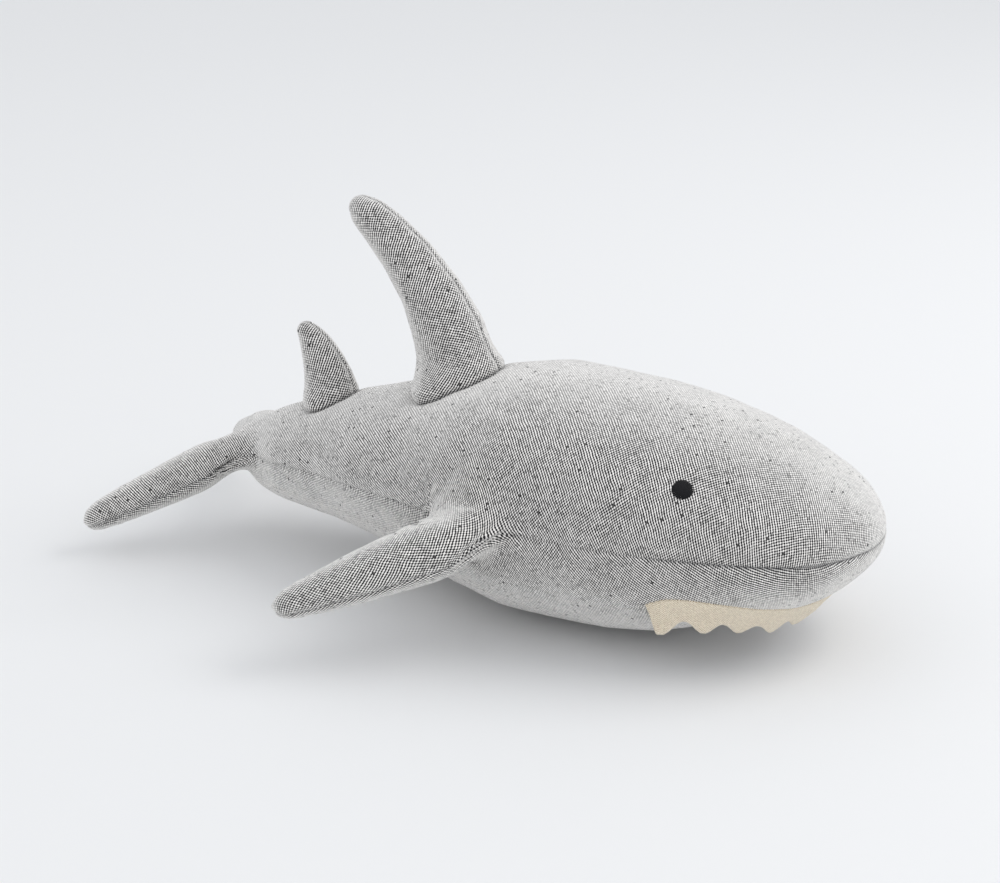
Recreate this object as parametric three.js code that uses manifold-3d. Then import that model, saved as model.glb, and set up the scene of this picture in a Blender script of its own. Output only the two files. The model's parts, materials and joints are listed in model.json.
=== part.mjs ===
// A knitted plush shark lying on its belly. A back panel and a belly panel make the body cover. Two
// pectoral fins, two tail flukes and two dorsal fins are stuffed pockets that flop at their roots. A
// scalloped strip of cloth teeth hangs from the mouth seam, and the eyes are satin stitch.
// Millimetres. +X is the nose, +Y the shark's left and +Z up. The origin is on the surface that the
// shark lies on, under the middle of its box.
import * as THREE from 'three';
import { mergeVertices } from 'three/addons/utils/BufferGeometryUtils.js';
import Module from 'manifold-3d';

const wasm = await Module();
wasm.setup();

// Cloth and clearance
const SKIN = 2; // knitted cover
const GAP = 0.3; // between pieces that touch
const FAR = 600; // larger than the shark, for cutting blocks

// Body sections from tail to nose: place along X, half width, height of the side seam, rise of the
// back above the seam, drop of the belly below it.
const BODY = [
  [-203, 0, 63, 0, 0],
  [-190, 12, 64, 12, 19],
  [-172, 29, 66, 19, 30],
  [-150, 43, 69, 27, 37],
  [-107, 56, 74, 36, 45],
  [-33, 80, 78, 54, 61],
  [40, 100, 80, 71.5, 80],
  [114, 99, 80, 68.5, 80.5],
  [178, 87, 80, 54, 62.5],
  [229, 66, 79, 31, 41],
  [261, 0, 77, 0, 0],
];
const BELLY_FULLNESS = 2.3; // exponent of the belly's section; 2 is an ellipse
const BODY_SIDES = 28;
const BODY_RINGS = 32;

// Fin sections from root to tip, from the hinge: place along the chord, place along the span, half
// chord, turn of the chord in degrees, half thickness. The root end is round about the hinge.
const PECTORAL = [
  [0, -17, 0, 0, 0],
  [0, -10, 30, 0, 13.7],
  [-4, 2, 27, 4, 17.5],
  [-17, 18, 21.5, 18, 16.5],
  [-34, 38, 17, 30, 14.5],
  [-55, 63, 12, 36, 11.5],
  [-68, 78, 8.5, 36, 8.5],
  [-73.5, 84.5, 0, 36, 0],
];
const FLUKE = [
  [0, -14, 0, 0, 0],
  [0, -8, 24, 0, 11.5],
  [0, 2, 22, 0, 13.5],
  [-1, 18, 18, 0, 13],
  [-3, 50, 14.5, 0, 12],
  [-5, 83, 11, 0, 10],
  [-5, 94, 8, 0, 7.5],
  [-5, 100, 0, 0, 0],
];
const DORSAL = [
  [3, -19.5, 0, 15, 0],
  [2, -13, 27, 15, 14.5],
  [0, 0, 27, 12, 20],
  [-9.5, 22, 23, 18, 18],
  [-25, 46, 19, 30, 15],
  [-46.5, 69, 15, 36, 12],
  [-62, 82, 11.5, 38, 9.5],
  [-72, 90.5, 0, 38, 0],
];
const REAR_DORSAL = [
  [1, -12, 0, 15, 0],
  [0, -9, 16, 15, 8],
  [-1, 0, 16.5, 8, 12],
  [-5, 13, 14, 10, 10.5],
  [-12, 25, 9.5, 25, 8],
  [-18, 31.5, 6, 35, 5.5],
  [-22.5, 36, 0, 35, 0],
];
const FIN_SIDES = 14;
const FIN_RINGS = 12;

// Hinges: where each fin bends. Turn is the chord's angle in plan and droop how far the tip hangs.
const PECTORAL_HINGE = { at: [29, 115.5, 74], turn: 9, droop: 25 };
const FLUKE_HINGE = { at: [-194, 32.5, 59.5], turn: 43.5, droop: 22.5 };
const DORSAL_HINGE = [-28, 0, 156];
const REAR_DORSAL_HINGE = [-122, 0, 121];

// Mouth and teeth. In plan the mouth seam is a U, given here from its left end to the middle
// of the snout. The strip hangs down from it at the sides and leans back under the snout.
const MOUTH = [
  [145.5, 89.3],
  [160, 87.9],
  [175.5, 83.6],
  [191, 76.6],
  [204.5, 67.2],
  [217, 55.8],
  [227, 42.7],
  [234.5, 28.5],
  [239, 14],
  [240.5, 0],
];
const TEETH_LEAN = 38; // degrees under the snout
const TEETH_CLOTH = 1.6;
const TEETH_DEPTH = 19.5; // from the seam to the middle of the scallops
const TEETH_WAVE = 3.8; // half the height of a scallop
const TEETH_COUNT = 12;
const FIRST_TOOTH = 11; // from the strip's end to its first tip
const STRIP_SLANT = 7; // how far each end is cut back at the bottom
const STRIP_STEPS = 90;

// Eyes
const EYE_X = 159;
const EYE_ABOVE_SEAM = 38;
const EYE_RADIUS = 6;
const EYE_THICKNESS = 0.8;

const knit = { color: 0xb4b1ad, roughness: 0.95, metalness: 0 };
const toothCloth = { color: 0xe6d8c0, roughness: 0.9, metalness: 0 };
const eyeThread = { color: 0x16151a, roughness: 0.6, metalness: 0 };
const stuffing = { color: 0xf2f0ec, roughness: 1, metalness: 0 };

const shark = new THREE.Group();

function welded(geometry) {
  geometry.deleteAttribute('normal');
  geometry.deleteAttribute('uv');
  return mergeVertices(geometry, 1e-4);
}

// A closed round form: a sphere whose points move to place(t, side, up). t runs from 0 at one end to
// 1 at the other, and (side, up) is the point's direction round the section.
function roundForm(sides, rings, place) {
  const geometry = new THREE.SphereGeometry(1, sides, rings);
  const position = geometry.attributes.position;
  for (let i = 0; i < position.count; i += 1) {
    const t = (1 - position.getY(i)) / 2;
    const radius = Math.hypot(position.getX(i), position.getZ(i)) || 1;
    const point = place(t, position.getZ(i) / radius, -position.getX(i) / radius);
    position.setXYZ(i, point.x, point.y, point.z);
  }
  return welded(geometry);
}

// The same form with its whole surface moved inwards.
function inset(geometry, depth) {
  const smaller = geometry.clone();
  smaller.computeVertexNormals();
  const position = smaller.attributes.position;
  const normal = smaller.attributes.normal;
  for (let i = 0; i < position.count; i += 1) {
    position.setXYZ(
      i,
      position.getX(i) - depth * normal.getX(i),
      position.getY(i) - depth * normal.getY(i),
      position.getZ(i) - depth * normal.getZ(i),
    );
  }
  smaller.deleteAttribute('normal');
  return smaller;
}

function solid(geometry) {
  const vertProperties = new Float32Array(geometry.attributes.position.array);
  const triVerts = new Uint32Array(geometry.index.array);
  return new wasm.Manifold(new wasm.Mesh({ numProp: 3, vertProperties, triVerts }));
}

function surface(body) {
  const { vertProperties, triVerts } = body.getMesh();
  const geometry = new THREE.BufferGeometry();
  geometry.setAttribute('position', new THREE.BufferAttribute(vertProperties, 3));
  geometry.setIndex(new THREE.BufferAttribute(triVerts, 1));
  geometry.computeVertexNormals();
  return geometry;
}

function add(parent, name, body, finish) {
  const mesh = new THREE.Mesh(surface(body), new THREE.MeshStandardMaterial(finish));
  mesh.name = name;
  parent.add(mesh);
  return mesh;
}

// Everything above, or below, a height.
function block(from, up) {
  const geometry = new THREE.BoxGeometry(FAR, FAR, FAR);
  geometry.translate(0, 0, from + (up * FAR) / 2);
  return solid(welded(geometry));
}

// Widths and heights are squared before the curve runs through them, so that the ends close round.
function sectionCurves(rows) {
  const place = rows.map(([a, , b]) => new THREE.Vector3(a, b, 0));
  const size = rows.map((row) => new THREE.Vector3(row[1] ** 2, row[3] ** 2, row[4] ** 2));
  return [new THREE.CatmullRomCurve3(place), new THREE.CatmullRomCurve3(size)];
}

const [bodyPlace, bodySize] = sectionCurves(BODY);
const side = (square) => Math.sqrt(Math.max(square, 0));
const power = (value, exponent) => Math.sign(value) * Math.abs(value) ** exponent;

function bodySection(t) {
  const place = bodyPlace.getPoint(t);
  const size = bodySize.getPoint(t);
  return {
    x: place.x,
    seam: place.y,
    half: side(size.x),
    above: side(size.y),
    below: side(size.z),
  };
}

function sectionAt(x) {
  let low = 0;
  let high = 1;
  while (high - low > 1e-6) {
    const middle = (low + high) / 2;
    if (bodySection(middle).x < x) low = middle;
    else high = middle;
  }
  return bodySection(low);
}

function bodyPoint(t, across, up) {
  const { x, seam, half, above, below } = bodySection(t);
  if (up >= 0) return new THREE.Vector3(x, half * across, seam + above * up);
  const round = 2 / BELLY_FULLNESS;
  return new THREE.Vector3(x, half * power(across, round), seam + below * power(up, round));
}

function underside(x, y) {
  const { seam, half, below } = sectionAt(x);
  const share = 1 - Math.abs(y / half) ** BELLY_FULLNESS;
  return seam - below * share ** (1 / BELLY_FULLNESS);
}

// The part of the body above, or below, the side seam, with half the clearance taken off.
function seamBlock(up) {
  const outline = new THREE.Shape();
  outline.moveTo(-FAR / 2, BODY[0][2] + (up * GAP) / 2);
  for (const [x, , seam] of BODY) outline.lineTo(x, seam + (up * GAP) / 2);
  outline.lineTo(FAR / 2, BODY.at(-1)[2] + (up * GAP) / 2);
  outline.lineTo(FAR / 2, up * FAR);
  outline.lineTo(-FAR / 2, up * FAR);
  const geometry = new THREE.ExtrudeGeometry(outline, { depth: FAR, bevelEnabled: false });
  geometry.rotateX(Math.PI / 2);
  geometry.translate(0, FAR / 2, 0);
  return solid(welded(geometry));
}

function addBody() {
  const form = roundForm(BODY_SIDES, BODY_RINGS, bodyPoint);
  const outer = solid(form).intersect(block(0, 1));
  const inner = solid(inset(form, SKIN)).intersect(block(SKIN, 1));
  const cover = outer.subtract(inner);
  add(shark, 'back_panel', cover.intersect(seamBlock(1)), knit);
  add(shark, 'belly_panel', cover.intersect(seamBlock(-1)), knit);
  const fill = solid(inset(form, SKIN + GAP)).intersect(block(SKIN + GAP, 1));
  add(shark, 'body_stuffing', fill, stuffing);
}

function finForm(rows) {
  const centres = rows.map(([x, y, , turn]) => {
    return new THREE.Vector3(x, y, THREE.MathUtils.degToRad(turn));
  });
  const sizes = rows.map((row) => new THREE.Vector3(row[2] ** 2, row[4] ** 2, 0));
  const centre = new THREE.CatmullRomCurve3(centres);
  const size = new THREE.CatmullRomCurve3(sizes);
  return roundForm(FIN_SIDES, FIN_RINGS, (t, across, up) => {
    const { x, y, z: turn } = centre.getPoint(t);
    const { x: chord, y: thickness } = size.getPoint(t);
    const along = -across * side(chord);
    return new THREE.Vector3(
      x + along * Math.cos(turn),
      y + along * Math.sin(turn),
      up * side(thickness),
    );
  });
}

// The other hand of a form, with its triangles turned to face out again.
function mirrored(geometry) {
  const other = geometry.clone();
  other.scale(1, -1, 1);
  const index = other.index;
  for (let i = 0; i < index.count; i += 3) {
    const second = index.getX(i + 1);
    index.setX(i + 1, index.getX(i + 2));
    index.setX(i + 2, second);
  }
  return other;
}

// A fin is two skins joined round its edge, with stuffing inside. faces names the skin on the
// local +Z side and then the other.
function addFin(holder, name, form, faces) {
  const shell = solid(form).subtract(solid(inset(form, SKIN)));
  add(holder, `${name}_${faces[0]}`, shell.intersect(block(GAP / 2, 1)), knit);
  add(holder, `${name}_${faces[1]}`, shell.intersect(block(-GAP / 2, -1)), knit);
  add(holder, `${name}_stuffing`, solid(inset(form, SKIN + GAP)), stuffing);
}

function addPairOfFins(name, rows, { at, turn, droop }) {
  const form = finForm(rows);
  for (const [hand, sign] of [['left', 1], ['right', -1]]) {
    const holder = new THREE.Group();
    holder.position.set(at[0], sign * at[1], at[2]);
    holder.rotation.order = 'ZYX';
    holder.rotation.x = THREE.MathUtils.degToRad(-sign * droop);
    holder.rotation.z = THREE.MathUtils.degToRad(sign * turn);
    shark.add(holder);
    addFin(holder, `${name}_${hand}`, sign > 0 ? form : mirrored(form), ['top', 'underside']);
  }
}

function addUprightFin(name, rows, at) {
  const holder = new THREE.Group();
  holder.position.set(...at);
  holder.rotation.x = Math.PI / 2;
  shark.add(holder);
  addFin(holder, name, finForm(rows), ['right_side', 'left_side']);
}

// The mouth seam in plan, from the right end round the front to the left end.
function mouthSeam() {
  const left = MOUTH.map(([x, y]) => new THREE.Vector2(x, y));
  const right = MOUTH.slice(0, -1).map(([x, y]) => new THREE.Vector2(x, -y));
  return new THREE.SplineCurve([...right, ...left.reverse()]);
}

// The strip is a flat band with a wavy lower edge, bent round the mouth.
function addTeeth() {
  const seam = mouthSeam();
  const length = seam.getLength();
  const pitch = (length - 2 * FIRST_TOOTH) / (TEETH_COUNT - 1);
  const strip = new THREE.BoxGeometry(length, 1, TEETH_CLOTH, STRIP_STEPS, 1, 1);
  const position = strip.attributes.position;
  for (let i = 0; i < position.count; i += 1) {
    const low = 0.5 - position.getY(i);
    const cloth = position.getZ(i) + TEETH_CLOTH / 2;
    const along = length / 2 + position.getX(i) * (1 - (2 * STRIP_SLANT * low) / length);
    const wave = Math.cos((2 * Math.PI * (along - FIRST_TOOTH)) / pitch);
    const drop = low * (TEETH_DEPTH + TEETH_WAVE * wave);
    const share = THREE.MathUtils.clamp(along / length, 0, 1);
    const foot = seam.getPointAt(share);
    const heading = seam.getTangentAt(share);
    const lean = THREE.MathUtils.degToRad(TEETH_LEAN) * heading.y;
    const out = 2 * GAP + cloth * Math.cos(lean) - drop * Math.sin(lean);
    const z = underside(foot.x, foot.y) - 2 * GAP - drop * Math.cos(lean) - cloth * Math.sin(lean);
    position.setXYZ(i, foot.x + heading.y * out, foot.y - heading.x * out, z);
  }
  add(shark, 'teeth_strip', solid(welded(strip)), toothCloth);
}

function addEyes() {
  const { half, seam, above } = sectionAt(EYE_X);
  const lift = EYE_ABOVE_SEAM / above;
  const y = half * Math.sqrt(1 - lift ** 2);
  for (const [hand, sign] of [['left', 1], ['right', -1]]) {
    const ahead = sectionAt(EYE_X + 1);
    const aheadY = ahead.half * Math.sqrt(1 - (EYE_ABOVE_SEAM / ahead.above) ** 2);
    const upwards = new THREE.Vector3(0, (-sign * half * lift) / Math.sqrt(1 - lift ** 2), above);
    const forwards = new THREE.Vector3(1, sign * (aheadY - y), ahead.seam - seam);
    const outwards = new THREE.Vector3().crossVectors(upwards, forwards).normalize();
    outwards.multiplyScalar(Math.sign(outwards.y) * sign);
    const disc = new THREE.CylinderGeometry(EYE_RADIUS, EYE_RADIUS, EYE_THICKNESS, 24);
    const eye = add(shark, `eye_${hand}`, solid(welded(disc)), eyeThread);
    eye.quaternion.setFromUnitVectors(new THREE.Vector3(0, 1, 0), outwards);
    eye.position.set(EYE_X, sign * y, seam + EYE_ABOVE_SEAM);
    eye.position.addScaledVector(outwards, GAP + EYE_THICKNESS / 2);
  }
}

addBody();
addPairOfFins('pectoral', PECTORAL, PECTORAL_HINGE);
addPairOfFins('fluke', FLUKE, FLUKE_HINGE);
addUprightFin('dorsal', DORSAL, DORSAL_HINGE);
addUprightFin('rear_dorsal', REAR_DORSAL, REAR_DORSAL_HINGE);
addTeeth();
addEyes();

export default shark;
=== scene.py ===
"""A knitted plush shark lying on its belly.

Two big knitted panels, back and belly, are cut in one with the skins of the side fins and sewn
together along the side seam. They start here as one stuffed form, which a cloth simulation puffs
up. The form is cut along the seam, each panel is laid flat to find the run of the knit, and the
panels are parted at the fin roots. The two back fins are sewn on, the
teeth are a strip of cream cloth, and the eyes are satin stitch. Lengths are in metres: +X is
towards the nose and +Y is the shark's left.
"""

import json
import math
from dataclasses import dataclass

import bmesh
import bpy
import numpy as np
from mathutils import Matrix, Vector, noise
from mathutils.bvhtree import BVHTree


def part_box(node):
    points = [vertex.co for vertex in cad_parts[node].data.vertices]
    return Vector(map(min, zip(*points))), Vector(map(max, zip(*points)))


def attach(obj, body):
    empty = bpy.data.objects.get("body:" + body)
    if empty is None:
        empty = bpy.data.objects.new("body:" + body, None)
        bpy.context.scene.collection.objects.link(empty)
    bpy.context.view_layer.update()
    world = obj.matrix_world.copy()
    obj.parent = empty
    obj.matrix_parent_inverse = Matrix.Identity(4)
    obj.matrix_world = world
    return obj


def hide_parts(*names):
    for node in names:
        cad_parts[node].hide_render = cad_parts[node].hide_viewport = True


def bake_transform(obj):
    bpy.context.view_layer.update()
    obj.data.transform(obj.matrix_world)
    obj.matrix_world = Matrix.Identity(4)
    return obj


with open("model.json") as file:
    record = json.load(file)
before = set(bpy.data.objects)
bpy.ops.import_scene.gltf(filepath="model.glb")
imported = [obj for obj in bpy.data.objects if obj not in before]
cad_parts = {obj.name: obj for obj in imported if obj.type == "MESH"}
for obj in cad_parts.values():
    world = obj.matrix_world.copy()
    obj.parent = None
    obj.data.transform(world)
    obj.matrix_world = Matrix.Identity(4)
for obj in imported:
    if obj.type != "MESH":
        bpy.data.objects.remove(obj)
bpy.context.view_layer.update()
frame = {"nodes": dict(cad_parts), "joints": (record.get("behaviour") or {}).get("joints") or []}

MM = 0.001

# The side seam's height along the body, from tail to nose, in millimetres.
SEAM_PLACE = [-203, -172, -150, -107, -33, 40, 114, 178, 229, 261]
SEAM_HEIGHT = [63, 66, 69, 74, 78, 80, 80, 80, 79, 77]

# How far each side fin's tip hangs, in degrees.
DROOP = {"pectoral": 25, "fluke": 22.5}

# How many times longer the part of each fin behind its hinge is made, to reach into the body.
ROOT_REACH = {"pectoral": 3.2, "fluke": 2.6, "dorsal": 3.2, "rear_dorsal": 3.4}

# How much a back fin's foot spreads to each side where it is sewn on, as a share of its width.
FOOT_SPREAD = {"dorsal": 0.8, "rear_dorsal": 1.1}

# Where a fin starts to bend and where it has bent, in millimetres out from its hinge.
BEND = {
    "pectoral": (-13, 26),
    "fluke": (-11, 20),
    "dorsal": (-21, 12),
    "rear_dorsal": (-14, 8),
}

FIN_ZONE = 120 * MM  # how far along its chord a side fin's own rules reach
ROOT_ZONE = 75 * MM  # how far from its hinge a side fin's root is eased
ROOT_EASING = {"pectoral": 15 * MM, "fluke": 14 * MM}

VOXEL = 3.4 * MM
FIN_VOXEL = 2.4 * MM
FIBRE_VOXEL = 5 * MM
CLOTH_FRAMES = 20
PRESSURE = 4
COVER_RISE = 2.3 * MM  # from the stuffing to the outside of the cover
SWELL = 1.2 * MM  # how far the pressure moves the cover of the body
FIN_SHRINK = 0.9 * MM  # how far the cloth's tension draws in the cover of a fin
BODY_CAP = 2.2 * MM  # the furthest that the simulation may move the cover of the body
FIN_CAP = 1.6 * MM  # the same for a back fin
SKIN = 1.5 * MM  # thickness of the cover

# The unevenness of the stuffed cover: height and width in millimetres, and a seed.
LUMPS = ((0.8, 42, 1.0), (0.35, 17, 4.0))

# The creases at both ends of a side fin's root: how far the end is from the hinge and how far the
# creases run, in millimetres, and how many go round the front end and the rear end.
CREASE_PLACE = {"pectoral": 27, "fluke": 21}
CREASE_SIZE = {"pectoral": 13, "fluke": 9}
CREASE_COUNT = {1: 9, -1: 7}
CREASE_DEPTH = 2.3 * MM

# The fibre keeps this far inside the cover, and further where a fin bends.
FIBRE_INSET = 2.4 * MM
FIN_FIBRE_INSET = 8 * MM
HINGE_FIBRE_INSET = 5 * MM

# The mouth seam in plan, from the middle of the snout round to the right corner, in millimetres.
MOUTH = [
    (240.5, 0),
    (239, -14),
    (234.5, -28.5),
    (227, -42.7),
    (217, -55.8),
    (204.5, -67.2),
    (191, -76.6),
    (175.5, -83.6),
    (160, -87.9),
    (145.5, -89.3),
]
TEETH_COUNT = 12
TEETH_DEPTH = 19.5 * MM
TEETH_WAVE = 3.8 * MM
TEETH_LEAN = math.radians(38)
FIRST_TOOTH = 11 * MM  # from the strip's end to the first tooth's tip
STRIP_SLANT = 7 * MM  # how much shorter the strip's free edge is at each end
STRIP_CLOTH = 1.6 * MM
STRIP_TUCK = 1.0 * MM  # how far the sewn edge reaches up into the fold
FOLD_DROP = 5.5 * MM  # how far the fold is below the upper edge of the plain strip
FLUTTER = 0.9 * MM
FLUTTER_LENGTH = 6.1 * MM

EYE_RADIUS = 6.3 * MM
EYE_DOME = 1.1 * MM
THREAD = 0.3 * MM
THREAD_PITCH = 0.42 * MM

LIGHT_YARN = (0.975, 0.952, 0.92, 1)
# Painted shade: the colour of the holes between stitches, standing in for the shade inside them.
PAINTED_HOLE_SHADE = (0.011, 0.01, 0.012, 1)
CREAM_YARN = (1.0, 0.9, 0.725, 1)
# Painted shade in the holes of the cream cloth.
CREAM_SHADE = (0.6, 0.45, 0.28, 1)
# Painted shadow: the dark line along the seams.
SEAM_SHADE = (0.035, 0.035, 0.04, 1)


# ---------------------------------------------------------------- small tools


def smoothstep(low, high, value):
    """Goes from 0 at low to 1 at high, gently at both ends."""
    share = np.clip((value - low) / (high - low), 0, 1)
    return share * share * (3 - 2 * share)


def bell(value, width):
    """1 where value is zero, and fading to nothing at about twice the width."""
    return np.exp(-((value / width) ** 2))


def wander(points, size, seed=0.0):
    """Smooth noise from -1 to 1 at each point, with lumps of that size."""
    shift = Vector((seed, 2.3 * seed, -1.7 * seed))
    return np.array([noise.noise(Vector(p) / size + shift) for p in points])


def points_of(mesh):
    points = np.empty(len(mesh.vertices) * 3)
    mesh.vertices.foreach_get("co", points)
    return points.reshape(-1, 3)


def edges_of(mesh):
    edges = np.empty(len(mesh.edges) * 2, int)
    mesh.edges.foreach_get("vertices", edges)
    return edges.reshape(-1, 2)


def normals_of(mesh):
    normals = np.empty(len(mesh.vertices) * 3)
    mesh.vertex_normals.foreach_get("vector", normals)
    return normals.reshape(-1, 3)


def set_points(mesh, points):
    mesh.vertices.foreach_set("co", np.asarray(points, np.float32).ravel())
    mesh.update()


def corners_of(mesh):
    """Which point is at each corner of each face."""
    corners = np.empty(len(mesh.loops), int)
    mesh.loops.foreach_get("vertex_index", corners)
    return corners


def grain_of(mesh):
    """The place on the flat cloth at each corner, in metres."""
    grain = np.empty(len(mesh.loops) * 2)
    mesh.uv_layers["grain"].uv.foreach_get("vector", grain)
    return grain.reshape(-1, 2)


def set_grain(mesh, grain):
    layer = mesh.uv_layers.get("grain") or mesh.uv_layers.new(name="grain")
    layer.uv.foreach_set("vector", np.asarray(grain, np.float32).ravel())


def new_object(name, mesh):
    made = bpy.data.objects.new(name, mesh)
    bpy.context.scene.collection.objects.link(made)
    return made


def mesh_from(name, points, faces):
    mesh = bpy.data.meshes.new(name)
    mesh.from_pydata([tuple(p) for p in points], [], [tuple(f) for f in faces])
    mesh.update()
    mesh.shade_smooth()
    return mesh


def welded(mesh):
    work = bmesh.new()
    work.from_mesh(mesh)
    bmesh.ops.remove_doubles(work, verts=work.verts, dist=0.02 * MM)
    work.to_mesh(mesh)
    work.free()
    return mesh


def faced_outwards(mesh):
    work = bmesh.new()
    work.from_mesh(mesh)
    bmesh.ops.recalc_face_normals(work, faces=work.faces)
    work.to_mesh(mesh)
    work.free()
    return mesh


def evaluated(holder):
    """The holder's mesh with its modifiers applied."""
    graph = bpy.context.evaluated_depsgraph_get()
    return bpy.data.meshes.new_from_object(holder.evaluated_get(graph))


def with_modifiers(mesh, *settings):
    """The mesh after a few modifiers, each given as (type, {setting: value})."""
    holder = new_object("workpiece", mesh)
    for kind, values in settings:
        modifier = holder.modifiers.new(kind.title(), kind)
        for name, value in values.items():
            setattr(modifier, name, value)
    made = evaluated(holder)
    bpy.data.objects.remove(holder)
    return made


def eased(points, edges, amount, rounds):
    """Moves each point towards the middle of its neighbours, by its own amount each round."""
    count = np.bincount(edges.ravel(), minlength=len(points))[:, None]
    for _ in range(rounds):
        total = np.zeros_like(points)
        for axis in range(3):
            total[:, axis] += np.bincount(
                edges[:, 0], points[edges[:, 1], axis], len(points)
            )
            total[:, axis] += np.bincount(
                edges[:, 1], points[edges[:, 0], axis], len(points)
            )
        points = points + amount[:, None] * (total / np.maximum(count, 1) - points)
    return points


def evened(points, edges, rounds):
    """Takes the steps out of a remeshed form without shrinking it."""
    outwards = np.full(len(points), -0.53)
    inwards = np.full(len(points), 0.5)
    for _ in range(rounds):
        points = eased(points, edges, inwards, 1)
        points = eased(points, edges, outwards, 1)
    return points


# ---------------------------------------------------------------- the fins' frames


@dataclass
class Fin:
    """A fin's own directions: chord towards the nose, out from the body, span to the tip."""

    name: str
    kind: str
    hinge: np.ndarray
    chord: np.ndarray
    out: np.ndarray
    span: np.ndarray
    up: np.ndarray

    def along_chord(self, points):
        return (points - self.hinge) @ self.chord

    def outwards(self, points):
        return (points - self.hinge) @ self.out

    def outer_part(self, points):
        """True for each point beyond the plane where the fin starts to bend."""
        near = np.abs(self.along_chord(points)) < FIN_ZONE
        return near & (self.outwards(points) > BEND[self.kind][0] * MM)

    def bend(self):
        start, end = BEND[self.kind]
        return [tuple(self.hinge + reach * MM * self.out) for reach in (start, end)]


def read_fins():
    fins = {}
    for joint in frame["joints"]:
        name = joint["child"]
        kind = name.replace("_left", "").replace("_right", "")
        hinge = np.array(joint["pos_m"])
        axis = np.array(joint["axis"])
        chord = axis * math.copysign(1, axis[0])
        if kind in DROOP:
            out = np.array((-chord[1], chord[0], 0)) * math.copysign(1, hinge[1])
            droop = math.radians(DROOP[kind])
            level, fall = math.cos(droop), math.sin(droop)
            span = out * level - np.array((0, 0, fall))
            up = out * fall + np.array((0, 0, level))
        else:
            out = np.array((-chord[2], 0, chord[0]))
            span = out
            up = np.array((0, -1, 0))
        fins[name] = Fin(name, kind, hinge, chord, out, span, up)
    return fins


FINS = read_fins()
SIDE_FINS = [fin for fin in FINS.values() if fin.kind in DROOP]
BACK_FINS = [fin for fin in FINS.values() if fin.kind not in DROOP]


def seam_field(points):
    """Height above the sewn edge: the side seam on the body, and each side fin's own edge."""
    height = points[:, 2] - np.interp(
        points[:, 0], np.array(SEAM_PLACE) * MM, np.array(SEAM_HEIGHT) * MM
    )
    for fin in SIDE_FINS:
        near = np.abs(fin.along_chord(points)) < FIN_ZONE
        share = near * smoothstep(-14 * MM, 8 * MM, fin.outwards(points))
        height = (1 - share) * height + share * ((points - fin.hinge) @ fin.up)
    return height


# ---------------------------------------------------------------- stuffing a form


def cad_form(name):
    return welded(frame["nodes"][name].data.copy())


def drawn_in(mesh, fin):
    """Lengthens a fin's root, so that it reaches into the body."""
    points = points_of(mesh)
    behind = np.minimum((points - fin.hinge) @ fin.span, 0)
    points += np.outer(behind * (ROOT_REACH[fin.kind] - 1), fin.span)
    set_points(mesh, points)
    return mesh


def joined(meshes):
    work = bmesh.new()
    for mesh in meshes:
        work.from_mesh(mesh)
    made = bpy.data.meshes.new("form")
    work.to_mesh(made)
    work.free()
    return made


def remeshed(mesh, size):
    return with_modifiers(
        mesh, ("REMESH", {"mode": "VOXEL", "voxel_size": size, "use_smooth_shade": True})
    )


def puffed(mesh, swell, cap):
    """The cover's points once the form is filled: it swells under pressure as cloth does, no
    further than cap. Swell is how far each point is expected to move, so it starts that much
    lower."""
    outward = normals_of(mesh)
    start = points_of(mesh) + outward * (COVER_RISE - swell)[:, None]
    set_points(mesh, start)
    holder = new_object("stuffed_form", mesh)
    cloth = holder.modifiers.new("Cloth", "CLOTH")
    cloth.settings.quality = 4
    cloth.settings.mass = 0.3
    cloth.settings.tension_stiffness = 20
    cloth.settings.compression_stiffness = 20
    cloth.settings.bending_stiffness = 1.0
    cloth.settings.use_pressure = True
    cloth.settings.uniform_pressure_force = PRESSURE
    cloth.settings.effector_weights.gravity = 0
    cloth.collision_settings.use_collision = False
    cloth.point_cache.frame_start = 1
    cloth.point_cache.frame_end = CLOTH_FRAMES
    for step in range(1, CLOTH_FRAMES + 1):
        bpy.context.scene.frame_set(step)
    moved = points_of(evaluated(holder)) - start
    bpy.data.objects.remove(holder)
    length = np.linalg.norm(moved, axis=1)[:, None]
    return start + moved * np.minimum(1, cap / np.maximum(length, 1e-9))


def rested(points):
    """Flattens what would be under the surface that the shark lies on."""
    low, edge = points[:, 2], 3 * MM
    points[:, 2] = np.where(low < edge, edge * np.exp((low - edge) / edge), low)
    points[:, 2] -= 1.1 * MM * smoothstep(6 * MM, 0, low)
    points[:, 2] = np.maximum(points[:, 2], 0)
    return points


def stuffed_body():
    """The body and side fins as one puffed form."""
    forms = [cad_form("body_stuffing")]
    forms += [drawn_in(cad_form(f"{fin.name}_stuffing"), fin) for fin in SIDE_FINS]
    mesh = remeshed(joined(forms), VOXEL)
    points, edges = points_of(mesh), edges_of(mesh)
    points = evened(points, edges, 6)
    root = np.zeros(len(points))
    for fin in SIDE_FINS:
        near = np.linalg.norm(points - fin.hinge, axis=1) < ROOT_ZONE
        inside = fin.outwards(points) + 13 * MM
        root = np.maximum(root, near * bell(inside, ROOT_EASING[fin.kind]))
    points = eased(points, edges, 0.5 * root, 30)
    set_points(mesh, points)
    swell = np.full(len(points), SWELL)
    for fin in SIDE_FINS:
        share = smoothstep(-5 * MM, 15 * MM, fin.outwards(points))
        share *= np.abs(fin.along_chord(points)) < FIN_ZONE
        swell -= (SWELL + FIN_SHRINK) * share
    points = puffed(mesh, swell, BODY_CAP)
    points = evened(points, edges, 4)
    set_points(mesh, points)
    lumps = sum(height * wander(points, width * MM, seed) for height, width, seed in LUMPS)
    points = points + normals_of(mesh) * (lumps * MM)[:, None]
    set_points(mesh, rested(points))
    return mesh


# ---------------------------------------------------------------- cutting and flattening


def faces_of(mesh):
    return [tuple(face.vertices) for face in mesh.polygons]


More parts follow.
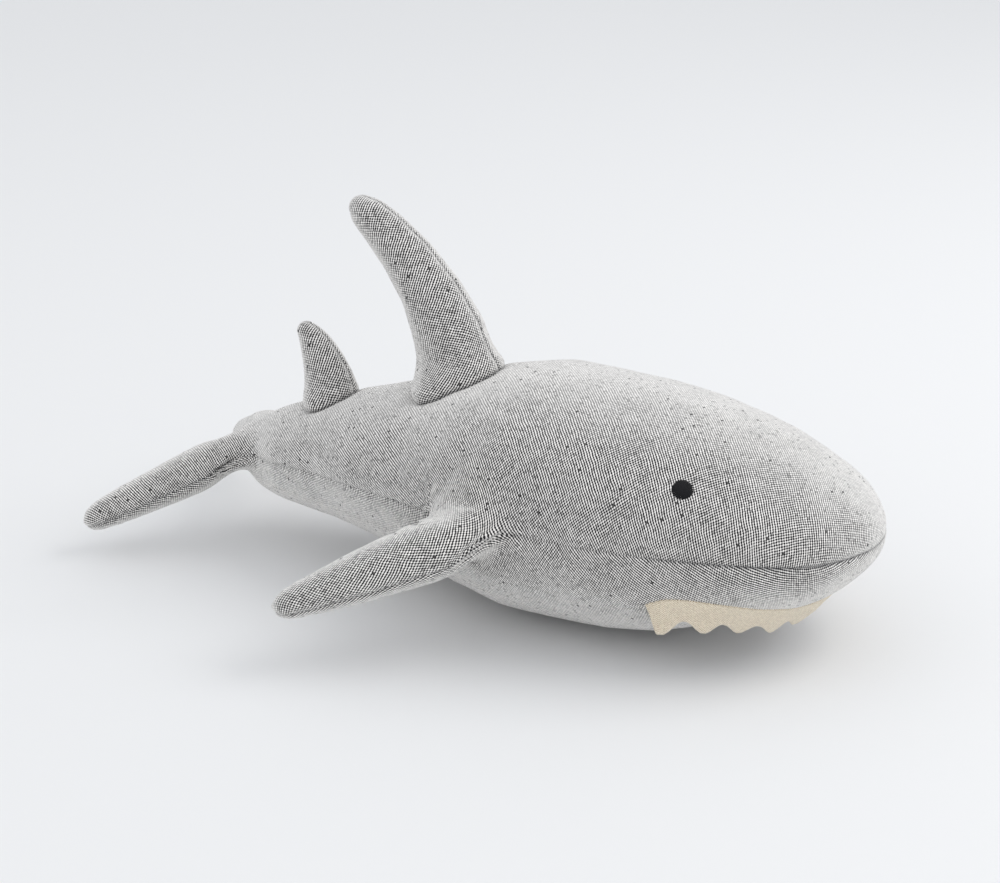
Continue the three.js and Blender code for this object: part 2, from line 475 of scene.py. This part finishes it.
def cut_apart(mesh, height):
    """Cuts the mesh where height, one value for each point, passes through zero.

    Each point's z is swapped for its height, so that one level cut follows the curved seam. The
    real places ride along in a layer. Gives the part above and the part below."""
    work = bmesh.new()
    work.from_mesh(mesh)
    place = work.verts.layers.float_vector.new("place")
    level = work.verts.layers.float.new("level")
    for vert, value in zip(work.verts, height):
        vert[place] = vert.co
        vert[level] = 0 if abs(value) < 0.5 * MM else value
        vert.co.z = vert[level]
    parts = work.verts[:] + work.edges[:] + work.faces[:]
    bmesh.ops.bisect_plane(work, geom=parts, dist=1e-7, plane_no=(0, 0, 1))
    for vert in work.verts:
        vert.co = vert[place]
    work.verts.index_update()
    points = np.array([vert.co for vert in work.verts])
    faces = {True: [], False: []}
    for face in work.faces:
        above = sum(vert[level] for vert in face.verts) > 0
        faces[above].append([vert.index for vert in face.verts])
    work.free()
    return [trimmed(points, faces[above]) for above in (True, False)]


def compact(faces):
    """The old number of each point that the faces use, and the faces with those points numbered
    afresh."""
    used = sorted({index for face in faces for index in face})
    fresh = {old: new for new, old in enumerate(used)}
    return np.array(used), [[fresh[index] for index in face] for face in faces]


def trimmed(points, faces):
    """A panel of these faces, without the points that they don't use."""
    used, fresh = compact(faces)
    return mesh_from("panel", points[used], fresh)


def flattened(mesh, along, across):
    """Lays a panel flat as it was cut from the cloth, its rows of stitches running along, and
    keeps each corner's place on the flat cloth as the UV map named grain, in metres."""
    holder = new_object("panel", mesh)
    mesh.uv_layers.new(name="grain")
    bpy.context.view_layer.objects.active = holder
    holder.select_set(True)
    bpy.ops.object.mode_set(mode="EDIT")
    bpy.ops.mesh.select_all(action="SELECT")
    bpy.ops.uv.unwrap(method="MINIMUM_STRETCH", margin=0, iterations=12)
    bpy.ops.object.mode_set(mode="OBJECT")
    flat = grain_of(mesh)
    flat = flat[:, 0] + 1j * flat[:, 1]
    points = points_of(mesh)[corners_of(mesh)]
    real = points @ np.array(along) + 1j * (points @ np.array(across))
    weight = bell(real.imag - np.median(real.imag), 30 * MM)
    flat -= np.average(flat, weights=weight)
    real -= np.average(real, weights=weight)
    turn = np.sum(weight * np.conj(flat) * real)
    size = turn / np.sum(weight * np.abs(flat) ** 2)
    flat = flat * size
    set_grain(mesh, np.column_stack((flat.real, flat.imag)))
    holder.data = bpy.data.meshes.new("spare")
    bpy.data.objects.remove(holder)
    return mesh


@dataclass
class Panel:
    """A flat-cut panel on its form: its points, faces, facing, place on the cloth, and the weight
    of the painted shadow along its seams.
    """

    points: np.ndarray
    faces: list
    grain: np.ndarray
    facing: np.ndarray = None
    sewn: np.ndarray = None

    def mesh(self):
        return mesh_from("panel", self.points, self.faces)

    def tree(self):
        return BVHTree.FromPolygons([tuple(p) for p in self.points], self.faces)

    def settle(self):
        """Finds which way each point faces, once the shape has been changed."""
        self.facing = normals_of(self.mesh())
        return self


def fine_panel(mesh, along, across):
    mesh = flattened(mesh, along, across)
    fine = with_modifiers(mesh, ("SUBSURF", {"levels": 1, "render_levels": 1}))
    grain = np.zeros((len(fine.vertices), 2))
    grain[corners_of(fine)] = grain_of(fine)
    panel = Panel(points_of(fine), faces_of(fine), grain)
    panel.sewn = np.zeros(len(panel.points))
    return panel.settle()


def body_panels():
    """The back and the belly, sewn and creased. The seam shows most round the snout and along
    the fins."""
    form = stuffed_body()
    upper, lower = cut_apart(form, seam_field(points_of(form)))
    back = fine_panel(upper, (1, 0, 0), (0, 1, 0))
    belly = fine_panel(lower, (1, 0, 0), (0, -1, 0))
    for panel in (back, belly):
        x = panel.points[:, 0]
        crisp = 0.55 + 0.45 * smoothstep(120 * MM, 190 * MM, x)
        for fin in SIDE_FINS:
            crisp = np.maximum(crisp, 0.75 * fin.outer_part(panel.points))
        sew(panel, np.abs(seam_field(panel.points)), crisp)
        for fin in SIDE_FINS:
            crease(panel, fin)
    return back, belly


def crease(panel, fin):
    """Pulls the cloth into creases that run out from each end of a side fin's root."""
    along, out = fin.along_chord(panel.points), fin.outwards(panel.points)
    high = (panel.points - fin.hinge) @ fin.up
    size = CREASE_SIZE[fin.kind]
    for end, count in CREASE_COUNT.items():
        ahead = end * along - CREASE_PLACE[fin.kind] * MM
        away = np.sqrt(ahead**2 + (out + 4 * MM) ** 2 + high**2)
        angle = np.arctan2(high, ahead + 0.3 * out)
        wave = 0.5 + 0.5 * np.cos(count * angle + 2.2 * wander(panel.points, 14 * MM, 6.0))
        depth = CREASE_DEPTH * wave * bell(away - 0.7 * size * MM, size * MM)
        panel.points -= panel.facing * depth[:, None]
    panel.settle()


def sew(panel, distance, crisp):
    """Draws the cloth in along a seam that runs where distance is zero. Crisp, from 0 to 1, is
    how sharply the seam shows at each point."""
    level = panel.points * (1, 1, 0.2)
    pucker = wander(level, 5 * MM, 3.0)
    groove = 0.8 * MM * crisp * bell(distance, 1.6 * MM)
    groove += (0.25 * MM + 0.4 * MM * pucker) * bell(distance, 5 * MM)
    panel.points -= panel.facing * groove[:, None]
    # The weight of the painted seam shadow, strongest where the seam is crisp.
    panel.sewn = np.maximum(panel.sewn, crisp * bell(distance, 1.4 * MM))
    panel.settle()


# ---------------------------------------------------------------- the back fins


def stuffed_back_fin(fin):
    """A back fin's form, with its foot spread where it is sewn to the back."""
    mesh = drawn_in(cad_form(f"{fin.name}_stuffing"), fin)
    mesh = remeshed(mesh, FIN_VOXEL)
    points, edges = points_of(mesh), edges_of(mesh)
    points = evened(points, edges, 6)
    height = fin.outwards(points)
    foot = BEND[fin.kind][0] * MM
    spread = smoothstep(foot + 26 * MM, foot - 6 * MM, height)
    rear = 1 + smoothstep(10 * MM, -18 * MM, fin.along_chord(points))
    points[:, 1] *= 1 + FOOT_SPREAD[fin.kind] * spread**2 * rear
    points += np.outer(0.16 * spread * fin.along_chord(points), fin.chord)
    set_points(mesh, points)
    points = puffed(mesh, np.full(len(points), -FIN_SHRINK), FIN_CAP)
    set_points(mesh, evened(points, edges, 3))
    return mesh


def height_over(tree, points):
    """How far each point is outside the surface; inside counts as less than zero."""
    heights = []
    for point in points:
        nearest, facing, _, distance = tree.find_nearest(Vector(point))
        outside = (Vector(point) - nearest).dot(facing) > 0
        heights.append(distance if outside else -distance)
    return np.array(heights)


def back_fin_panels(fin, back_tree):
    """A back fin's right and left skins, drawn in where they are sewn to each other and to the
    back."""
    form = stuffed_back_fin(fin)
    points = points_of(form)
    left, right = cut_apart(form, points[:, 1])
    panels = []
    for mesh, hand in ((right, -1), (left, 1)):
        over = height_over(back_tree, points_of(mesh))
        kept = [face for face in faces_of(mesh) if max(over[list(face)]) > -3 * MM]
        mesh = trimmed(points_of(mesh), kept)
        tip = fin.out + 0.45 * -fin.chord
        tip = tip / np.linalg.norm(tip)
        across = np.cross((0, hand, 0), tip)
        panel = fine_panel(mesh, tip, across)
        sew(panel, np.abs(panel.points[:, 1]), np.full(len(panel.points), 0.8))
        over = height_over(back_tree, panel.points)
        pinch = 0.8 * MM * bell(over, 2.0 * MM)
        pucker = wander(panel.points * (1, 1, 0.15), 4 * MM, 8.0)
        pinch += 0.45 * MM * pucker * bell(over - 4 * MM, 5 * MM)
        panel.points -= panel.facing * pinch[:, None]
        # Painted seam shadow where the fin meets the back.
        panel.sewn = np.maximum(panel.sewn, bell(over, 1.4 * MM))
        panels.append(panel.settle())
    return panels


def seat_back_fin(back, panels):
    """Draws the back's cloth in round the foot of a fin that is sewn to it."""
    points = np.concatenate([panel.points for panel in panels])
    low, high = points.min(0) - 8 * MM, points.max(0) + 8 * MM
    near = np.all((back.points > low) & (back.points < high), axis=1)
    trees = [panel.tree() for panel in panels]
    for index in np.flatnonzero(near):
        place = Vector(back.points[index])
        distance = min(tree.find_nearest(place)[3] for tree in trees)
        back.points[index] -= back.facing[index] * 0.9 * MM * bell(distance, 3 * MM)
        # Painted seam shadow round the fin's foot.
        back.sewn[index] = max(back.sewn[index], 0.7 * bell(distance, 1.5 * MM))


# ---------------------------------------------------------------- skins


def skin_piece(name, panel, faces, material):
    """Part of a panel as a closed skin of cloth, an outer and an inner face with a rim."""
    used, outer = compact(faces)
    count = len(used)
    seen = {(a, b) for face in outer for a, b in zip(face, face[1:] + face[:1])}
    rim = [(b, a, a + count, b + count) for a, b in sorted(seen) if (b, a) not in seen]
    inner = [[index + count for index in reversed(face)] for face in outer]
    facing = panel.facing[used]
    points = panel.points[used]
    points = np.concatenate((points, points - SKIN * facing))
    mesh = mesh_from(name, points, outer + inner + rim)
    set_grain(mesh, np.tile(panel.grain[used], (2, 1))[corners_of(mesh)])
    # The weight of the painted seam shadow at each point, read by the knit material.
    sewn = mesh.attributes.new("sewn", "FLOAT", "POINT")
    sewn.data.foreach_set("value", np.tile(panel.sewn[used], 2).astype(np.float32))
    mesh.normals_split_custom_set_from_vertices(np.concatenate((facing, -facing)))
    mesh.materials.append(material)
    return new_object(name, mesh)


def split_panel(panel, cover_name, node, side, material):
    """Parts a body panel at the fin roots. A fin's skin starts where it does not bend yet."""
    rest = panel.faces
    for fin in SIDE_FINS:
        outer = fin.outer_part(panel.points)
        chosen = [face for face in rest if any(outer[list(face)])]
        rest = [face for face in rest if not any(outer[list(face)])]
        fin_skin(fin, side, panel, chosen, material)
    cover = skin_piece(cover_name, panel, rest, material)
    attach(cover, "body")
    finish_cover(node)


def fin_skin(fin, side, panel, faces, material):
    name = f"{fin.name}_{side}"
    piece = skin_piece(f"{name}_skin", panel, faces, material)
    bend_with(piece, fin)
    finish_cover(name)


def bend_with(piece, fin):
    start, end = fin.bend()
    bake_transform(piece)


def finish_cover(node):
    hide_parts(node)


# ---------------------------------------------------------------- stuffing


def fibre_fill(name, fin, material):
    """The loose fibre inside: the stuffing's own form, a little smaller and lumpy."""
    mesh = with_modifiers(
        cad_form(f"{name}_stuffing"),
        ("REMESH", {"mode": "VOXEL", "voxel_size": FIBRE_VOXEL, "use_smooth_shade": True}),
    )
    points = points_of(mesh)
    inset = FIBRE_INSET + 0.9 * MM * wander(points, 9 * MM, 5.0)
    if fin:
        inset += FIN_FIBRE_INSET * smoothstep(24 * MM, 2 * MM, fin.outwards(points))
    else:
        for side_fin in SIDE_FINS:
            away = np.linalg.norm(points - side_fin.hinge, axis=1)
            inset += HINGE_FIBRE_INSET * bell(away, 34 * MM)
    set_points(mesh, points - normals_of(mesh) * inset[:, None])
    mesh.materials.clear()
    mesh.materials.append(material)
    piece = new_object(f"{name}_fibre", mesh)
    if fin:
        bend_with(piece, fin)
    else:
        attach(piece, "body")
    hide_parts(f"{name}_stuffing")


# ---------------------------------------------------------------- teeth


def smooth_line(corners, steps):
    """A smooth line through the corners, as points evenly spaced along it, and its length."""
    rows = np.array(corners, float)
    rows = np.vstack((2 * rows[0] - rows[1], rows, 2 * rows[-1] - rows[-2]))
    line = []
    for i in range(1, len(rows) - 2):
        a, b, c, d = rows[i - 1 : i + 3]
        for t in np.linspace(0, 1, 24, endpoint=False):
            line.append(
                0.5
                * (
                    2 * b
                    + (c - a) * t
                    + (2 * a - 5 * b + 4 * c - d) * t**2
                    + (3 * b - a - 3 * c + d) * t**3
                )
            )
    line.append(rows[-2])
    line = np.array(line)
    place = np.concatenate(([0], np.cumsum(np.linalg.norm(np.diff(line, axis=0), axis=1))))
    even = np.linspace(0, place[-1], steps)
    points = np.column_stack([np.interp(even, place, line[:, axis]) for axis in (0, 1)])
    return points, place[-1]


def band_faces(rows, columns):
    """The faces of a doubled band: its front, its back and the rim all round."""
    band = (rows + 1) * columns
    faces = []
    for row in range(rows):
        for column in range(columns - 1):
            a = row * columns + column
            b, c, d = a + 1, a + 1 + columns, a + columns
            faces.append((a, b, c, d))
            faces.append((a + band, d + band, c + band, b + band))
    rim = [row * columns for row in range(rows + 1)]
    rim += [rows * columns + column for column in range(1, columns)]
    rim += [row * columns + columns - 1 for row in range(rows - 1, -1, -1)]
    rim += list(range(columns - 2, -1, -1))
    return faces + [(a, b, b + band, a + band) for a, b in zip(rim, rim[1:])]


def teeth(belly_tree, material):
    """A band of doubled cream cloth with a scalloped edge, sewn into the fold of the mouth."""
    right = [(x * MM, y * MM) for x, y in MOUTH]
    corners = right[::-1] + [(x, -y) for x, y in right[1:]]
    columns, rows = 420, 14
    line, length = smooth_line(corners, columns)
    heading = np.gradient(line, axis=0)
    heading /= np.linalg.norm(heading, axis=1)[:, None]
    pitch = (length - 2 * FIRST_TOOTH) / (TEETH_COUNT - 1)
    line, top = on_the_belly(line, belly_tree)
    points, grain = [], []
    for side in (1, -1):
        for row in range(rows + 1):
            low = row / rows
            half = 0.5 * STRIP_CLOTH * side * (0.2 if row == rows else 1)
            for column in range(columns):
                middle = length * (column / (columns - 1)) - length / 2
                place = length / 2 + middle * (1 - 2 * STRIP_SLANT * low / length)
                wave = math.cos(2 * math.pi * (place - FIRST_TOOTH) / pitch)
                drop = low * (TEETH_DEPTH + TEETH_WAVE * wave)
                index = place / length * (columns - 1)
                foot = [np.interp(index, range(columns), line[:, axis]) for axis in (0, 1)]
                ahead = [np.interp(index, range(columns), heading[:, axis]) for axis in (0, 1)]
                lean = TEETH_LEAN * ahead[1]
                flutter = FLUTTER * low * math.sin(place / FLUTTER_LENGTH + 1.2)
                out = half * math.cos(lean) - drop * math.sin(lean) + flutter + 0.4 * MM
                x, y = foot[0] + ahead[1] * out, foot[1] - ahead[0] * out
                z = np.interp(index, range(columns), top) + STRIP_TUCK
                z -= drop * math.cos(lean) + half * math.sin(lean)
                points.append((x, y, z))
                grain.append((drop, place))
    mesh = faced_outwards(mesh_from("teeth_cloth", points, band_faces(rows, columns)))
    set_grain(mesh, np.array(grain)[corners_of(mesh)])
    mesh.materials.append(material)
    piece = new_object("teeth_cloth", mesh)
    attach(piece, "body")
    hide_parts("teeth_strip")


def on_the_belly(line, tree):
    """Moves the mouth line on to the belly's cloth: its places in plan, and its heights."""
    strip = points_of(frame["nodes"]["teeth_strip"].data)
    found = []
    for place in line:
        near = np.linalg.norm(strip[:, :2] - place, axis=1) < 4 * MM
        top = strip[near, 2].max() - FOLD_DROP
        found.append(tree.find_nearest(Vector((place[0], place[1], top)))[0])
    found = np.array(found)
    return found[:, :2], found[:, 2]


# ---------------------------------------------------------------- eyes


def thread_faces(base, sides, steps):
    """The faces of one thread whose points start at base, with both ends closed."""
    faces = []
    for step in range(steps):
        for side in range(sides):
            a = base + step * sides + side
            b = base + step * sides + (side + 1) % sides
            faces.append((a, b, b + sides, a + sides))
    faces.append([base + side for side in reversed(range(sides))])
    faces.append([base + steps * sides + side for side in range(sides)])
    return faces


def eye(hand, tree, material):
    """Satin stitch: threads laid side by side over a low dome, their ends a little uneven."""
    low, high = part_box(f"eye_{hand}")
    middle = (low + high) / 2
    centre, facing, _, _ = tree.find_nearest(middle)
    sign = 1 if hand == "left" else -1
    lie = Vector((0.5, 0.1 * sign, 1)).cross(facing).cross(facing).normalized()
    across = facing.cross(lie)
    random = np.random.default_rng(11)
    points, faces = [], []
    sides, steps = 6, 12
    threads = int(EYE_RADIUS / THREAD_PITCH)
    for number in range(-threads, threads + 1):
        offset = number * THREAD_PITCH
        reach = math.sqrt(max(EYE_RADIUS**2 - offset**2, 0)) + 0.15 * MM
        ends = [reach + random.uniform(-0.2, 0.55) * MM for _ in range(2)]
        sway = random.uniform(-0.12, 0.12) * MM
        base = len(points)
        for step in range(steps + 1):
            share = step / steps
            along = -ends[0] + share * (ends[0] + ends[1])
            place = centre + along * lie + (offset + sway * (2 * share - 1)) * across
            foot, out, _, _ = tree.find_nearest(place)
            rise = math.sqrt(max(1 - (2 * share - 1) ** 2, 0))
            dome = EYE_DOME * math.sqrt(max(1 - (offset / EYE_RADIUS) ** 2, 0)) * rise
            core = foot + (dome - 0.1 * MM) * out
            size = THREAD * (0.35 + 0.65 * rise)
            for side in range(sides):
                angle = 2 * math.pi * side / sides
                points.append(core + size * (math.cos(angle) * across + math.sin(angle) * out))
        faces += thread_faces(base, sides, steps)
    mesh = faced_outwards(mesh_from(f"eye_{hand}_thread", points, faces))
    mesh.materials.append(material)
    piece = new_object(f"eye_{hand}_thread", mesh)
    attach(piece, "body")
    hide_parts(f"eye_{hand}")


# ---------------------------------------------------------------- materials


class Wiring:
    """Short ways to add and link the nodes of one tree."""

    def __init__(self, tree):
        self.tree = tree

    def node(self, kind, inputs=None, **settings):
        made = self.tree.nodes.new(kind)
        for name, value in settings.items():
            setattr(made, name, value)
        for name, value in (inputs or {}).items():
            self.feed(made.inputs[name], value)
        return made

    def feed(self, socket, value):
        if isinstance(value, bpy.types.NodeSocket):
            self.tree.links.new(value, socket)
        else:
            socket.default_value = value

    def math(self, operation, *values):
        made = self.tree.nodes.new("ShaderNodeMath")
        made.operation = operation
        for socket, value in zip(made.inputs, values):
            self.feed(socket, value)
        return made.outputs[0]

    def mix(self, share, a, b):
        made = self.tree.nodes.new("ShaderNodeMix")
        made.data_type = "RGBA"
        self.feed(made.inputs[0], share)
        self.feed(made.inputs[6], a)
        self.feed(made.inputs[7], b)
        return made.outputs[2]

    def remap(self, value, low, high, to_low=0.0, to_high=1.0):
        made = self.node("ShaderNodeMapRange", interpolation_type="SMOOTHSTEP")
        for socket, given in zip(made.inputs, (value, low, high, to_low, to_high)):
            self.feed(socket, given)
        return made.outputs[0]


def group(name, inputs, outputs):
    tree = bpy.data.node_groups.new(name, "ShaderNodeTree")
    for socket, (kind, value) in inputs.items():
        made = tree.interface.new_socket(socket, in_out="INPUT", socket_type=kind)
        if value is not None:
            made.default_value = value
    for socket, kind in outputs.items():
        tree.interface.new_socket(socket, in_out="OUTPUT", socket_type=kind)
    return tree


def jersey_group():
    """Fine knit of light yarn, with painted shade in its holes. Grain is the place on the flat
    cloth in metres, rows running along X.

    Light stitches lie slantwise between small holes painted dark as shade, and each row is half a
    stitch on from the last. Depth, from 0 to 1, is how dark the painted shade in the holes is.
    Out come the colour, and the height of the surface from 0 to 1."""
    tree = group(
        "Jersey knit",
        {
            "Grain": ("NodeSocketVector", None),
            "Stitch width": ("NodeSocketFloat", 2.0),
            "Row height": ("NodeSocketFloat", 1.2),
            "Light yarn": ("NodeSocketColor", (0.6, 0.59, 0.57, 1)),
            "Dark yarn": ("NodeSocketColor", (0.02, 0.02, 0.025, 1)),
            "Gap": ("NodeSocketFloat", 0.5),
            "Depth": ("NodeSocketFloat", 1.0),
            "Melange": ("NodeSocketFloat", 0.2),
            "Flecks": ("NodeSocketFloat", 1.0),
        },
        {"Color": "NodeSocketColor", "Height": "NodeSocketFloat"},
    )
    w = Wiring(tree)
    given = tree.nodes.new("NodeGroupInput").outputs
    wobble = w.node(
        "ShaderNodeTexNoise", {"Vector": given["Grain"], "Scale": 110.0, "Detail": 2.0}
    )
    shift = w.node(
        "ShaderNodeVectorMath",
        {0: wobble.outputs["Color"], 1: (0.5, 0.5, 0.5)},
        operation="SUBTRACT",
    ).outputs[0]
    bent = w.node(
        "ShaderNodeVectorMath",
        {0: shift, 1: (0.0014, 0.0014, 0), 2: given["Grain"]},
        operation="MULTIPLY_ADD",
    ).outputs[0]
    flat = w.node("ShaderNodeSeparateXYZ", {"Vector": bent}).outputs
    across = w.math("DIVIDE", w.math("MULTIPLY", flat["X"], 2000.0), given["Stitch width"])
    along = w.math("DIVIDE", w.math("MULTIPLY", flat["Y"], 1000.0), given["Row height"])
    rising, falling = w.math("ADD", across, along), w.math("SUBTRACT", across, along)
    patches = w.node(
        "ShaderNodeTexNoise", {"Vector": given["Grain"], "Scale": 42.0, "Detail": 4.0}
    ).outputs["Fac"]
    slant = w.remap(patches, 0.3, 0.7, 0.48, 0.7)
    level = w.math("SUBTRACT", 1.0, slant)
    holes = w.math(
        "ADD",
        w.math("MULTIPLY", w.math("COSINE", w.math("MULTIPLY", rising, math.pi)), slant),
        w.math("MULTIPLY", w.math("COSINE", w.math("MULTIPLY", falling, math.pi)), level),
    )
    stitch = w.node(
        "ShaderNodeCombineXYZ",
        {
            "X": w.math("FLOOR", w.math("MULTIPLY", rising, 0.5)),
            "Y": w.math("FLOOR", w.math("MULTIPLY", falling, 0.5)),
        },
    ).outputs[0]
    chance = w.node("ShaderNodeTexWhiteNoise", {"Vector": stitch}, noise_dimensions="3D")
    fibres = w.node(
        "ShaderNodeTexNoise", {"Vector": given["Grain"], "Scale": 2600.0, "Detail": 3.0}
    ).outputs["Fac"]
    uneven = w.math("MULTIPLY", w.math("SUBTRACT", chance.outputs["Value"], 0.5), 0.24)
    shallow = w.math("ADD", w.math("SUBTRACT", given["Gap"], 0.22), uneven)
    deep = w.math("ADD", w.math("ADD", given["Gap"], 0.22), uneven)
    # Painted shade: how much of the hole colour, standing in for shade between the stitches, each
    # point gets.
    hole_shade = w.math("MULTIPLY", w.remap(holes, shallow, deep), given["Depth"])
    shade = w.math("SUBTRACT", chance.outputs["Value"], 0.5)
    shade = w.math("ADD", shade, w.math("MULTIPLY", w.math("SUBTRACT", patches, 0.5), 1.2))
    shade = w.math("ADD", shade, w.math("MULTIPLY", w.math("SUBTRACT", fibres, 0.5), 1.6))
    shade = w.math("MULTIPLY_ADD", shade, given["Melange"], 1.0)
    clump = w.remap(patches, 0.35, 0.7, 0.35, 1.5)
    few = w.math("MULTIPLY", w.math("MULTIPLY", 0.04, given["Flecks"]), clump)
    faint = w.math("LESS_THAN", chance.outputs["Value"], few)
    strong = w.math("LESS_THAN", chance.outputs["Value"], w.math("MULTIPLY", few, 0.09))
    dull = w.math("MAXIMUM", w.math("MULTIPLY", faint, 0.32), w.math("MULTIPLY", strong, 0.85))
    shade = w.math("MULTIPLY", shade, w.math("SUBTRACT", 1.0, dull))
    yarn = w.node(
        "ShaderNodeVectorMath",
        {0: given["Light yarn"], "Scale": shade},
        operation="SCALE",
    ).outputs[0]
    color = w.mix(hole_shade, yarn, given["Dark yarn"])
    height = w.math("MULTIPLY_ADD", holes, -0.5, w.math("MULTIPLY_ADD", fibres, 0.25, 0.5))
    out = tree.nodes.new("NodeGroupOutput")
    w.feed(out.inputs["Color"], color)
    w.feed(out.inputs["Height"], height)
    return tree


def new_material(name):
    material = bpy.data.materials.new(name)
    material.use_nodes = True
    material.node_tree.nodes.clear()
    return material, Wiring(material.node_tree)


def knit_material(name, jersey, values, shadow=0.0):
    """Knitted cloth. The painted shade in the holes is lighter where the cloth turns away from
    the view, and shadow is how dark the painted shadow along the seams is."""
    material, w = new_material(name)
    grain = w.node("ShaderNodeUVMap", uv_map="grain").outputs["UV"]
    cloth = w.node("ShaderNodeGroup", node_tree=jersey)
    w.feed(cloth.inputs["Grain"], grain)
    for socket, value in values.items():
        w.feed(cloth.inputs[socket], value)
    # Painted shade: the holes are darkest where the cloth faces the view and fade towards its
    # outline.
    slope = w.node("ShaderNodeLayerWeight", {"Blend": 0.5}).outputs["Facing"]
    w.feed(cloth.inputs["Depth"], w.remap(slope, 0.15, 0.82, 1.0, 0.3))
    color = cloth.outputs["Color"]
    if shadow:
        # Painted shadow: the seams are darkened by the sewn weight.
        sewn = w.node("ShaderNodeAttribute", attribute_name="sewn").outputs["Fac"]
        line = w.math("MULTIPLY", w.math("POWER", sewn, 2.0), shadow)
        color = w.mix(line, color, SEAM_SHADE)
    bump = w.node(
        "ShaderNodeBump",
        {"Height": cloth.outputs["Height"], "Strength": 0.7, "Distance": 0.0009},
    ).outputs["Normal"]
    shader = w.node("ShaderNodeBsdfPrincipled", {"Base Color": color, "Normal": bump})
    shader.inputs["Roughness"].default_value = 0.92
    shader.inputs["Specular IOR Level"].default_value = 0.15
    shader.inputs["Sheen Weight"].default_value = 0.4
    shader.inputs["Sheen Roughness"].default_value = 0.45
    out = w.node("ShaderNodeOutputMaterial")
    w.feed(out.inputs["Surface"], shader.outputs[0])
    return material


def thread_material():
    material, w = new_material("Black satin thread")
    place = w.node("ShaderNodeTexCoord").outputs["Object"]
    fine = w.node("ShaderNodeTexNoise", {"Vector": place, "Scale": 2200.0, "Detail": 3.0})
    tone = w.node("ShaderNodeTexNoise", {"Vector": place, "Scale": 700.0}).outputs["Fac"]
    color = w.mix(tone, (0.002, 0.002, 0.003, 1), (0.009, 0.009, 0.011, 1))
    bump = w.node(
        "ShaderNodeBump", {"Height": fine.outputs["Fac"], "Strength": 0.4, "Distance": 0.0002}
    ).outputs["Normal"]
    shader = w.node("ShaderNodeBsdfPrincipled", {"Base Color": color, "Normal": bump})
    w.feed(shader.inputs["Roughness"], w.remap(tone, 0.3, 0.7, 0.42, 0.6))
    shader.inputs["Specular IOR Level"].default_value = 0.25
    out = w.node("ShaderNodeOutputMaterial")
    w.feed(out.inputs["Surface"], shader.outputs[0])
    return material


def fibre_material():
    material, w = new_material("White polyester fibre")
    place = w.node("ShaderNodeTexCoord").outputs["Object"]
    tangle = w.node(
        "ShaderNodeTexNoise", {"Vector": place, "Scale": 260.0, "Detail": 6.0, "Distortion": 3.0}
    ).outputs["Fac"]
    color = w.mix(tangle, (0.7, 0.69, 0.66, 1), (0.95, 0.94, 0.92, 1))
    bump = w.node(
        "ShaderNodeBump", {"Height": tangle, "Strength": 0.8, "Distance": 0.002}
    ).outputs["Normal"]
    shader = w.node("ShaderNodeBsdfPrincipled", {"Base Color": color, "Normal": bump})
    shader.inputs["Roughness"].default_value = 1.0
    shader.inputs["Sheen Weight"].default_value = 0.3
    out = w.node("ShaderNodeOutputMaterial")
    w.feed(out.inputs["Surface"], shader.outputs[0])
    return material


def floor_material():
    material, w = new_material("Pale floor")
    shader = w.node("ShaderNodeBsdfPrincipled", {"Base Color": (0.86, 0.86, 0.86, 1)})
    shader.inputs["Roughness"].default_value = 0.8
    out = w.node("ShaderNodeOutputMaterial")
    w.feed(out.inputs["Surface"], shader.outputs[0])
    return material


# ---------------------------------------------------------------- studio


def add_camera():
    data = bpy.data.cameras.new("camera")
    data.lens = 72
    data.sensor_width = 36
    data.clip_start = 0.05
    camera = new_object("camera", data)
    aimed(camera, (0.5496, -1.0706, 0.5566), (0.00508, 0, 0.09639))
    bpy.context.scene.camera = camera


def aimed(thing, place, aim):
    thing.location = place
    thing.rotation_euler = (Vector(aim) - Vector(place)).to_track_quat("-Z", "Y").to_euler()


def add_light(name, place, size, power):
    data = bpy.data.lights.new(name, "AREA")
    data.shape = "DISK"
    data.size = size
    data.energy = power
    aimed(new_object(name, data), place, (0, 0, 0.08))


def add_studio():
    corners = [(-6, -6, 0), (6, -6, 0), (6, 6, 0), (-6, 6, 0)]
    floor = new_object("floor", mesh_from("floor", corners, [(0, 1, 2, 3)]))
    floor.data.materials.append(floor_material())
    add_light("window", (1.6, 0.8, 1.9), 1.8, 20)
    add_light("room", (-1.4, -1.4, 1.6), 2.4, 3)
    world = bpy.data.worlds.new("room light")
    world.use_nodes = True
    sky = world.node_tree.nodes["Background"].inputs
    sky["Color"].default_value = (0.95, 0.97, 1, 1)
    sky["Strength"].default_value = 0.85
    bpy.context.scene.world = world
    bpy.context.scene.view_settings.view_transform = "Standard"


# ---------------------------------------------------------------- the shark


def build():
    jersey = jersey_group()
    grey = knit_material(
        "Grey jersey, body",
        jersey,
        {
            "Stitch width": 1.9,
            "Row height": 1.2,
            "Light yarn": LIGHT_YARN,
            "Dark yarn": PAINTED_HOLE_SHADE,
            "Gap": -0.05,
        },
        shadow=0.75,
    )
    cream = knit_material(
        "Cream rib cloth",
        jersey,
        {
            "Stitch width": 1.3,
            "Row height": 0.8,
            "Light yarn": CREAM_YARN,
            "Dark yarn": CREAM_SHADE,
            "Gap": 0.45,
            "Melange": 0.12,
            "Flecks": 0.0,
        },
    )
    fibre = fibre_material()
    back, belly = body_panels()
    bare_back = back.tree()
    for fin in BACK_FINS:
        panels = back_fin_panels(fin, bare_back)
        seat_back_fin(back, panels)
        for panel, side in zip(panels, ("right_side", "left_side")):
            fin_skin(fin, side, panel, panel.faces, grey)
    back.settle()
    split_panel(back, "back_cover", "back_panel", "top", grey)
    split_panel(belly, "belly_cover", "belly_panel", "underside", grey)
    fibre_fill("body", None, fibre)
    for fin in FINS.values():
        fibre_fill(fin.name, fin, fibre)
    teeth(belly.tree(), cream)
    back_tree = back.tree()
    thread = thread_material()
    for hand in ("left", "right"):
        eye(hand, back_tree, thread)


build()
add_camera()
add_studio()
